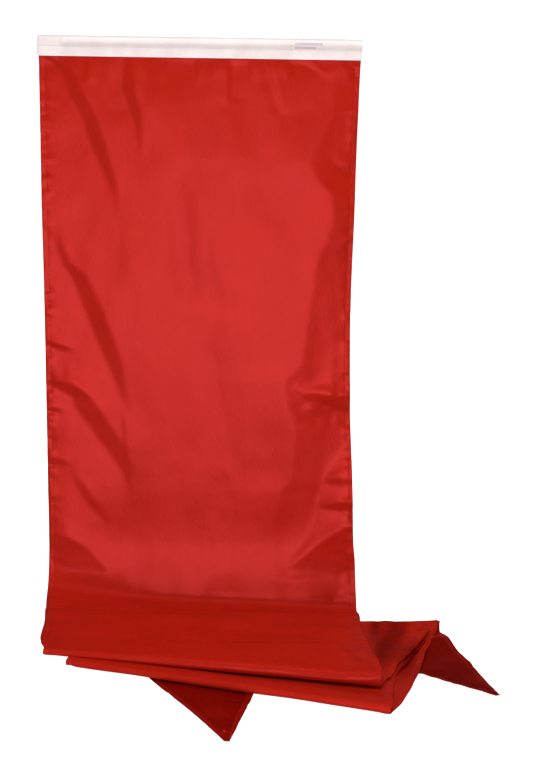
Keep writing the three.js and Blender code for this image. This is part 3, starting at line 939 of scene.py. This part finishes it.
# %% Draw the heading's section
BACK_PLY = [(-0.4, -19), (-0.4, -8), (-0.4, 4), (-0.4, 14), (-0.5, 17.3), (-1.25, 18.62)]
LOWER_PLY = [(-2.5, -3.9), (-2.6, -7), (-2.6, -11), (-2.6, -14.6), (-2.35, -16), (-2.6, -17.4), (-2.65, -19)]
SECTIONS = {
    "round": [(-2.2, 18.0), (-4.9, 16.8), (-6.9, 14.3), (-7.8, 11.6), (-8.1, 9.0), (-7.9, 6.6), (-6.3, 3.6),
              (-3.6, 0.4), (-1.75, -2.2)],
    "slack": [(-2.5, 18.0), (-5.2, 16.7), (-7.3, 14.2), (-8.2, 11.6), (-8.4, 9.0), (-8.0, 6.2), (-6.6, 3.4),
              (-4.4, 0.6), (-2.4, -2.2)],
    "flat": [(-2.1, 17.6), (-2.6, 14.7), (-2.9, 11.4), (-3.0, 9.0), (-2.9, 6.8), (-2.8, 3.9), (-2.5, 0.6),
             (-1.9, -1.0), (-2.3, -2.4)],
}
CANVAS_THICKNESS = 0.75
SECTION_POINTS = 64
FRONT_FROM = 17  # the section's point where its front starts
SPANS = len(BACK_PLY) + len(SECTIONS["round"]) + len(LOWER_PLY) - 1
rod_low, rod_high = (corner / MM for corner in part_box("heading_rod"))

samples = {
    name: through(BACK_PLY + middle + LOWER_PLY, np.linspace(0, SPANS, SECTION_POINTS))
    for name, middle in SECTIONS.items()
}
print(f"canvas {run_length(samples['round'])[-1]:.0f} mm wide before it is folded")

# %% Run the section along the heading
END_GAP = 0.4  # mm between the canvas's raw ends and the hoist's
END_PINCH = 0.45  # how much flatter the left end is pressed, at its very edge
x_heading = np.linspace(-HALF + END_GAP, HALF - END_GAP, 300)
flat_share = ease((rod_low.x + 4 - x_heading) / 16)[:, None, None]
slack_share = ease((x_heading - rod_high.x + 4) / 22)[:, None, None]
profile = samples["round"][None] * (1 - flat_share - slack_share)
profile = profile + samples["flat"][None] * flat_share + samples["slack"][None] * slack_share
pinch = END_PINCH * ease((x_heading + HALF - 4) / -3.5)[:, None]
front = ease((np.arange(SECTION_POINTS) - FRONT_FROM) / 6)[None, :]
wobble = 0.22 * value_noise(x_heading[:, None], profile[..., 1], 26, 9, 71)
wobble += 0.14 * value_noise(x_heading[:, None], profile[..., 1], 7, 30, 72)
heading_y = profile[..., 0] * (1 - front * pinch) + wobble * front
heading_x = x_heading[:, None] + 0.02 * profile[..., 1] * ease((-x_heading[:, None] - 280) / 25)
heading_grid = np.stack([heading_x, heading_y, profile[..., 1]], -1)
print("heading grid", heading_grid.shape[:2])

# %% Make the heading
heading_mesh = bpy.data.meshes.new("heading")
quads = grid_quads(*heading_grid.shape[:2])[:, ::-1]
heading_mesh.from_pydata((heading_grid.reshape(-1, 3) * MM).tolist(), [], quads.tolist())
heading = new_object("heading", heading_mesh)
thickness = heading.modifiers.new("thickness", "SOLIDIFY")
thickness.thickness = CANVAS_THICKNESS * MM
thickness.offset = 0
solid = bpy.data.meshes.new_from_object(heading.evaluated_get(bpy.context.evaluated_depsgraph_get()))
heading.modifiers.clear()
heading.data = solid
closed = bmesh.new()
closed.from_mesh(solid)
bmesh.ops.recalc_face_normals(closed, faces=closed.faces)
closed.to_mesh(solid)
closed.free()
solid.shade_smooth()
solid.materials.append(canvas)
print(f"heading: {len(solid.polygons)} faces")

# %% [markdown]
# ## Stitches
#
# A lockstitch seam shows the same short bar of thread again and again, a needle hole apart, on both
# faces. Geometry Nodes lays a bar at every step along a seam line. The line carries two directions at
# each point: "run", the way the bar lies, and "facing", the way the cloth faces. The same tree makes the
# bar tacks at the two tips and at the notch, where the bars lie across their line and close together.

# %% Build the stitching tree
STITCH_SIDES = 5


def stitch_tree():
    """The Geometry Nodes tree that lays stitches along lines."""
    tree = bpy.data.node_groups.new("stitching", "GeometryNodeTree")
    face = tree.interface
    face.new_socket("Geometry", in_out="OUTPUT", socket_type="NodeSocketGeometry")
    face.new_socket("Geometry", in_out="INPUT", socket_type="NodeSocketGeometry")
    sizes = {"Pitch": 0.0034, "Length": 0.0026, "Thickness": 0.0005, "Sink": 0.0003, "Jitter": 0.12}
    for name, value in sizes.items():
        face.new_socket(name, in_out="INPUT", socket_type="NodeSocketFloat").default_value = value
    face.new_socket("Seed", in_out="INPUT", socket_type="NodeSocketInt").default_value = 5
    face.new_socket("Thread", in_out="INPUT", socket_type="NodeSocketMaterial")
    asked = add(tree, "NodeGroupInput").outputs
    # One stitch: a bar that gets thinner and dives into the cloth at both ends.
    radius = add(tree, "ShaderNodeMath", {0: asked["Thickness"], 1: 0.5}, operation="MULTIPLY").outputs[0]
    bar = add(
        tree,
        "GeometryNodeMeshCylinder",
        {"Vertices": STITCH_SIDES, "Side Segments": 2, "Radius": radius, "Depth": asked["Length"]},
    ).outputs["Mesh"]
    spot = add(tree, "GeometryNodeInputPosition").outputs[0]
    parts = add(tree, "ShaderNodeSeparateXYZ", {0: spot}).outputs
    half = add(tree, "ShaderNodeMath", {0: asked["Length"], 1: 0.5}, operation="MULTIPLY").outputs[0]
    reach = add(tree, "ShaderNodeMath", {0: parts["Z"], 1: half}, operation="DIVIDE").outputs[0]
    square = add(tree, "ShaderNodeMath", {0: reach, 1: reach}, operation="MULTIPLY").outputs[0]
    slim = add(tree, "ShaderNodeMath", {0: square, 1: -0.45, 2: 1.0}, operation="MULTIPLY_ADD").outputs[0]
    thin_x = add(tree, "ShaderNodeMath", {0: parts["X"], 1: slim}, operation="MULTIPLY").outputs[0]
    thin_y = add(tree, "ShaderNodeMath", {0: parts["Y"], 1: slim}, operation="MULTIPLY").outputs[0]
    dive = add(tree, "ShaderNodeMath", {0: square, 1: asked["Sink"]}, operation="MULTIPLY").outputs[0]
    sunk = add(tree, "ShaderNodeMath", {0: thin_x, 1: dive}, operation="SUBTRACT").outputs[0]
    bent = add(tree, "ShaderNodeCombineXYZ", {"X": sunk, "Y": thin_y, "Z": parts["Z"]}).outputs[0]
    stitch = add(tree, "GeometryNodeSetPosition", {"Geometry": bar, "Position": bent}).outputs[0]
    # A stitch at each step of the line, along "run", with its dive away from "facing".
    line = add(tree, "GeometryNodeMeshToCurve", {"Mesh": asked["Geometry"]}).outputs[0]
    steps = add(tree, "GeometryNodeResampleCurve", {"Curve": line, "Length": asked["Pitch"]}, mode="LENGTH")
    run, facing = [
        add(tree, "GeometryNodeInputNamedAttribute", {"Name": name}, data_type="FLOAT_VECTOR").outputs[0]
        for name in ("run", "facing")
    ]
    lie = add(tree, "FunctionNodeAlignRotationToVector", {"Vector": run}, axis="Z").outputs[0]
    lie = add(
        tree,
        "FunctionNodeAlignRotationToVector",
        {"Rotation": lie, "Vector": facing},
        axis="X",
        pivot_axis="Z",
    ).outputs[0]
    least = add(tree, "ShaderNodeMath", {0: 1.0, 1: asked["Jitter"]}, operation="SUBTRACT").outputs[0]
    uneven = add(
        tree,
        "FunctionNodeRandomValue",
        {2: least, 3: 1.0, "Seed": asked["Seed"]},
        data_type="FLOAT",
    )
    laid = add(
        tree,
        "GeometryNodeInstanceOnPoints",
        {"Points": steps.outputs[0], "Instance": stitch, "Rotation": lie, "Scale": uneven.outputs[1]},
    )
    real = add(tree, "GeometryNodeRealizeInstances", {0: laid.outputs[0]}).outputs[0]
    done = add(tree, "GeometryNodeSetMaterial", {"Geometry": real, "Material": asked["Thread"]})
    add(tree, "NodeGroupOutput", {0: done.outputs[0]})
    return tree


STITCHING = stitch_tree()
print("stitching tree:", len(STITCHING.nodes), "nodes")

# %% [markdown]
# Each seam line is a row of points with its two directions. On the back the line lies behind the hem.

# %% Sew the seams


def lines_object(name, lines):
    """An edge mesh of several lines, each (points, run, facing) in mm."""
    points, run, facing, edges = [], [], [], []
    for line, along, out in lines:
        base = len(points)
        points.extend((np.asarray(line) * MM).tolist())
        run.extend(np.asarray(along).tolist())
        facing.extend(np.asarray(out).tolist())
        edges.extend((base + i, base + i + 1) for i in range(len(line) - 1))
    mesh = bpy.data.meshes.new(name)
    mesh.from_pydata(points, edges, [])
    for key, values in (("run", run), ("facing", facing)):
        mesh.attributes.new(key, "FLOAT_VECTOR", "POINT").data.foreach_set("vector", np.ravel(values))
    return new_object(name, mesh)


def sew(name, lines, thread, **sizes):
    """Runs the stitching tree over the lines and keeps the result as a plain mesh."""
    piece = lines_object(name, lines)
    modifier = piece.modifiers.new("stitching", "NODES")
    modifier.node_group = STITCHING
    sockets = {item.name: item.identifier for item in STITCHING.interface.items_tree}
    modifier[sockets["Thread"]] = thread
    for key, value in sizes.items():
        modifier[sockets[key]] = value
    bpy.context.view_layer.update()
    mesh = bpy.data.meshes.new_from_object(piece.evaluated_get(bpy.context.evaluated_depsgraph_get()))
    piece.modifiers.clear()
    piece.data = mesh
    mesh.shade_smooth()
    print(f"{name}: {len(mesh.polygons)} faces")
    return piece


def seam_line(points, normals, lift):
    """A line that follows points at a height over the cloth, on the side that normals face."""
    points = np.asarray(points) + np.asarray(normals) * lift
    along = np.gradient(points, axis=0)
    along /= np.maximum(np.linalg.norm(along, axis=1, keepdims=True), 1e-9)
    return points, along, normals


PROUD = 0.12  # mm that a thread's middle stands off the cloth
FRONT_WAY = (0, -1.0, 0)
hem_lines = []
for points, normals in seams.values():
    points = np.asarray(points) + np.array([0, 0, FLOOR])
    hem_lines.append(seam_line(points, normals, PROUD))
    hem_lines.append(seam_line(points, -normals, HEM_GAP + PROUD))
hem_stitches = sew("hem_stitches", hem_lines, red_thread, Pitch=0.0034)

CHANNEL_SEAM, LOWER_SEAM, END_SEAM_INSET = -1.0, -16.0, 3  # heights, and mm in from the ends
heading_lines = []
sections_z = heading_grid[0, :, 2]
front_half = np.arange(SECTION_POINTS) > SECTION_POINTS // 2
for height in (CHANNEL_SEAM, LOWER_SEAM):
    column = int(np.argmin(np.where(front_half, abs(sections_z - height), 99)))
    line = heading_grid[2:-2, column] - np.array([0, CANVAS_THICKNESS / 2, 0])
    front_way = np.tile(FRONT_WAY, (len(line), 1))
    heading_lines.append(seam_line(line, front_way, PROUD))
    behind = line.copy()
    behind[:, 1] = heading_high.y
    heading_lines.append(seam_line(behind, -front_way, 0.0))
for x_end in (-HALF + END_SEAM_INSET, HALF - END_SEAM_INSET):
    near = int(np.argmin(abs(x_heading - x_end)))
    chosen = np.where(front_half & (sections_z < -3.5) & (sections_z > -15))[0]
    line = heading_grid[near, chosen] - np.array([0, CANVAS_THICKNESS / 2, 0])
    heading_lines.append(seam_line(line, np.tile(FRONT_WAY, (len(line), 1)), PROUD))
heading_stitches = sew("heading_stitches", heading_lines, white_thread, Pitch=0.0032, Thickness=0.00055)

# %% [markdown]
# A bar tack is a few dozen stitches side by side. The tips and the notch take the wind's pull, so each
# has one.

# %% Sew the bar tacks
TACK_LENGTH, TACK_POINTS = 9.0, 12


def tack_line(centre, along, facing):
    """A short line with its stitches lying across it."""
    along = np.asarray(along, float) / np.linalg.norm(along)
    facing = np.asarray(facing, float) / np.linalg.norm(facing)
    steps = np.linspace(-0.5, 0.5, TACK_POINTS)[:, None] * TACK_LENGTH
    points = np.asarray(centre, float) + steps * along + facing * 0.15
    across = np.tile(np.cross(facing, along), (TACK_POINTS, 1))
    return points, across, np.tile(facing, (TACK_POINTS, 1))


tack_lines = []
for side, (grid, _, _) in tails.items():
    normals = outward_normals(grid) * (-1 if side == "right" else 1)
    row, middle = TAIL_ROWS - 7, grid.shape[1] // 2
    centre = grid[row, middle] + np.array([0, 0, FLOOR])
    tack_lines.append(tack_line(centre, grid[row + 3, middle] - grid[row - 3, middle], normals[row, middle]))
notch_at = np.array(APEX) * 0.6 + last_row[MIDDLE] * 0.4 + np.array([0, 0, FLOOR + 0.6])
tack_lines.append(tack_line(notch_at, (1, 0, 0), (0, 0, 1)))
bar_tacks = sew("bar_tacks", tack_lines, red_thread, Pitch=0.00055, Length=0.0026, Sink=0.00025)

# %% [markdown]
# ## What each piece stands for
#
# All of the cloth is one body, and the rod is another, which slides out of the channel.

# %% Tie the pieces to the frame
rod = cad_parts["heading_rod"]
rod.data.materials.clear()
rod.data.materials.append(beech)

for piece in (streamer, heading, hem_stitches, heading_stitches, bar_tacks):
    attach(piece, "streamer")
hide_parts("streamer_cloth")
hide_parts("heading_canvas", "channel_end_ply")
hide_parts("hem_thread_left", "hem_thread_right", "notch_thread_left", "notch_thread_right")
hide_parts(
    "channel_seam_thread",
    "heading_seam_thread",
    "heading_end_thread_left",
    "heading_end_thread_right",
)
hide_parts("tip_tack_left", "tip_tack_right", "notch_tack")

# %% [markdown]
# ## Floor and light
#
# A pale floor runs out all round and curves up into a wall, so there is no horizon from any side. One
# big soft light stands behind the camera: satin cloth is bright where it mirrors that light and dark
# where it doesn't. A light from above opens the shadows and one from behind lights the back. Those two
# are kept out of the gloss, and so is the floor, or they would fill the dark parts.

# %% Build the stage
floor_material, tree, shader = new_material(
    "pale_matt_paper",
    Base_Color=linear("#f4f3f2"),
    Roughness=0.95,
    Specular_IOR_Level=0.1,
    Emission_Color=(1, 1, 1, 1),
)
glow = add(tree, "ShaderNodeLightPath").outputs["Is Camera Ray"]
tree.links.new(glow, shader.inputs["Emission Strength"])

FLAT_RADIUS, BEND, WALL_TOP = 6.0, 1.6, 6.0
bowl = [(FLAT_RADIUS + BEND * math.sin(a), BEND * (1 - math.cos(a))) for a in np.linspace(0, math.pi / 2, 20)]
bowl = [(0.001, 0.0), (3.0, 0.0)] + bowl + [(FLAT_RADIUS + BEND, WALL_TOP)]
SEGMENTS = 96
stage_points = []
for radius, height in bowl:
    for angle in np.linspace(0, 2 * math.pi, SEGMENTS, endpoint=False):
        stage_points.append((radius * math.cos(angle), radius * math.sin(angle), height + FLOOR * MM))
stage_faces = []
for ring in range(len(bowl) - 1):
    for k in range(SEGMENTS):
        here, there = ring * SEGMENTS + k, ring * SEGMENTS + (k + 1) % SEGMENTS
        stage_faces.append((here, here + SEGMENTS, there + SEGMENTS, there))
stage_mesh = bpy.data.meshes.new("floor")
stage_mesh.from_pydata(stage_points, [], stage_faces)
stage_mesh.shade_smooth()
stage_mesh.materials.append(floor_material)
floor = new_object("floor", stage_mesh)
floor.visible_glossy = False
floor.visible_shadow = False
print("stage has", len(stage_faces), "faces")

# %% Light it
ROOM_LIGHT, ROOM_GLOSS = 0.24, 0.01  # strength of the room's light, and as gloss sees it


def soft_light(name, at, towards, width, height, watts):
    """A rectangular light that faces a point."""
    light = bpy.data.lights.new(name, "AREA")
    light.shape = "RECTANGLE"
    light.size = width
    light.size_y = height
    light.energy = watts
    lamp = new_object(name, light)
    facing = (Vector(towards) - Vector(at)).to_track_quat("-Z", "Y").to_matrix().to_4x4()
    lamp.matrix_world = Matrix.Translation(at) @ facing
    return lamp


soft_light("front", (0.0, -3.05, -0.93), (0.0, 0.0, -0.93), 1.8, 1.62, 38.5)
top_light = soft_light("above", (0.3, -1.1, 2.2), (0.1, -0.3, -1.1), 2.6, 2.6, 76)
top_light.visible_glossy = False
back_light = soft_light("behind", (0.4, 3.4, -0.2), (0.0, 0.0, -0.5), 2.0, 1.6, 42)
back_light.visible_glossy = False
world = bpy.data.worlds.new("room")
world.use_nodes = True
room = world.node_tree
seen_in_gloss = add(room, "ShaderNodeLightPath").outputs["Is Glossy Ray"]
dimmed = {0: seen_in_gloss, 1: ROOM_GLOSS - ROOM_LIGHT, 2: ROOM_LIGHT}
dim = add(room, "ShaderNodeMath", dimmed, operation="MULTIPLY_ADD").outputs[0]
room.links.new(dim, room.nodes["Background"].inputs["Strength"])
room.nodes["Background"].inputs["Color"].default_value = (1, 1, 1, 1)
bpy.context.scene.world = world
bpy.context.scene.view_settings.view_transform = "Standard"
print("stage is lit")
